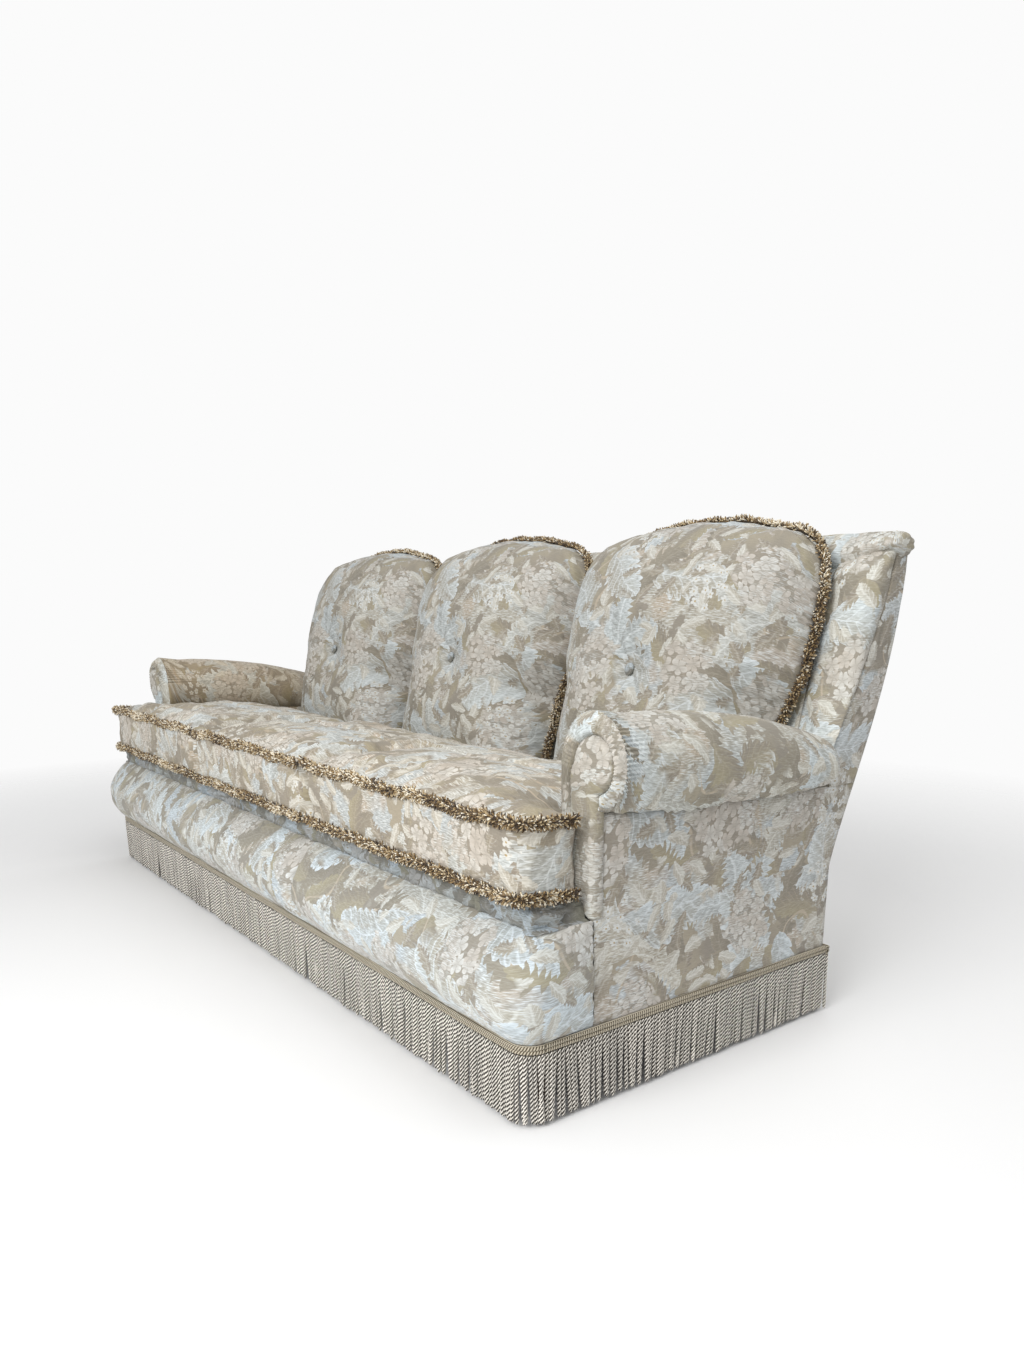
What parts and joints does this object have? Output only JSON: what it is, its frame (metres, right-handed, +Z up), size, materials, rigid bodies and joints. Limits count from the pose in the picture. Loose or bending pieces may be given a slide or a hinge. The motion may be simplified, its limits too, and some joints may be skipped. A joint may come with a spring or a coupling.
{
  "type": "three-seater sofa",
  "caption": "Traditional upholstered sofa with scroll arms, side wings, loose boxed seat cushions, loose buttoned back cushions and a bullion fringe to the floor.",
  "frame": {"origin": "on the floor, under the middle of the width and of the depth", "axes": "+Z up, the front of the sofa faces -Y, +X along its length towards the right arm as seen from the front"},
  "size_m": [2.136, 0.916, 0.9183],
  "materials": {
    "frame_wood": "sawn beech",
    "foot_wood": "dark stained beech",
    "spring_steel": "plain steel",
    "glide_plastic": "matt",
    "dust_cloth": "black non-woven cloth",
    "deck_cloth": "plain woven cloth",
    "tapestry": "floral tapestry weave",
    "cushion_tapestry": "floral tapestry weave",
    "brush_fringe": "cut brush fringe",
    "bullion_fringe": "twisted cords under a woven heading"
  },
  "bodies": {
    "base": {"front_rail": "frame_wood", "back_rail": "frame_wood", "side_rail_left": "frame_wood", "side_rail_right": "frame_wood", "seat_stretchers": "frame_wood", "corner_blocks": "frame_wood", "arm_post_left": "frame_wood", "arm_post_right": "frame_wood", "arm_rail_left": "frame_wood", "arm_rail_right": "frame_wood", "back_post_left": "frame_wood", "back_post_right": "frame_wood", "back_uprights": "frame_wood", "top_rail": "frame_wood", "feet": "foot_wood", "foot_studs": "spring_steel", "foot_glides": "glide_plastic", "seat_springs": "spring_steel", "spring_clips": "spring_steel", "dust_cover": "dust_cloth", "deck": "deck_cloth", "border_left": "tapestry", "border_mid": "tapestry", "border_right": "tapestry", "arm_roll_left": "tapestry", "arm_roll_right": "tapestry", "arm_facing_left": "tapestry", "arm_facing_right": "tapestry", "arm_band_left": "tapestry", "arm_band_right": "tapestry", "arm_pad_left": "tapestry", "arm_pad_right": "tapestry", "arm_panel_left": "tapestry", "arm_panel_right": "tapestry", "inside_back": "tapestry", "side_roll_left": "tapestry", "side_roll_right": "tapestry", "side_panel_left": "tapestry", "side_panel_right": "tapestry", "top_roll": "tapestry", "outside_back": "tapestry", "fringe_front": "bullion_fringe", "fringe_rear": "bullion_fringe", "fringe_left": "bullion_fringe", "fringe_right": "bullion_fringe"},
    "seat_left": {"seat_cushion_left": "cushion_tapestry", "seat_brush_left": "brush_fringe"},
    "seat_mid": {"seat_cushion_mid": "cushion_tapestry", "seat_brush_mid": "brush_fringe"},
    "seat_right": {"seat_cushion_right": "cushion_tapestry", "seat_brush_right": "brush_fringe"},
    "back_left": {"back_cushion_left": "cushion_tapestry", "back_brush_left": "brush_fringe", "button_left": "cushion_tapestry"},
    "back_mid": {"back_cushion_mid": "cushion_tapestry", "back_brush_mid": "brush_fringe", "button_mid": "cushion_tapestry"},
    "back_right": {"back_cushion_right": "cushion_tapestry", "back_brush_right": "brush_fringe", "button_right": "cushion_tapestry"}
  },
  "joints": [
    {"name": "lift_seat_left", "type": "slide", "parent": "base", "child": "seat_left", "axis": [0, -0.6, 0.8], "range_m": [0, 0.5]},
    {"name": "lift_seat_mid", "type": "slide", "parent": "base", "child": "seat_mid", "axis": [0, -0.6, 0.8], "range_m": [0, 0.5]},
    {"name": "lift_seat_right", "type": "slide", "parent": "base", "child": "seat_right", "axis": [0, -0.6, 0.8], "range_m": [0, 0.5]},
    {"name": "lift_back_left", "type": "slide", "parent": "base", "child": "back_left", "axis": [0, 0, 1], "range_m": [0, 0.6]},
    {"name": "lift_back_mid", "type": "slide", "parent": "base", "child": "back_mid", "axis": [0, 0, 1], "range_m": [0, 0.6]},
    {"name": "lift_back_right", "type": "slide", "parent": "base", "child": "back_right", "axis": [0, 0, 1], "range_m": [0, 0.6]}
  ]
}
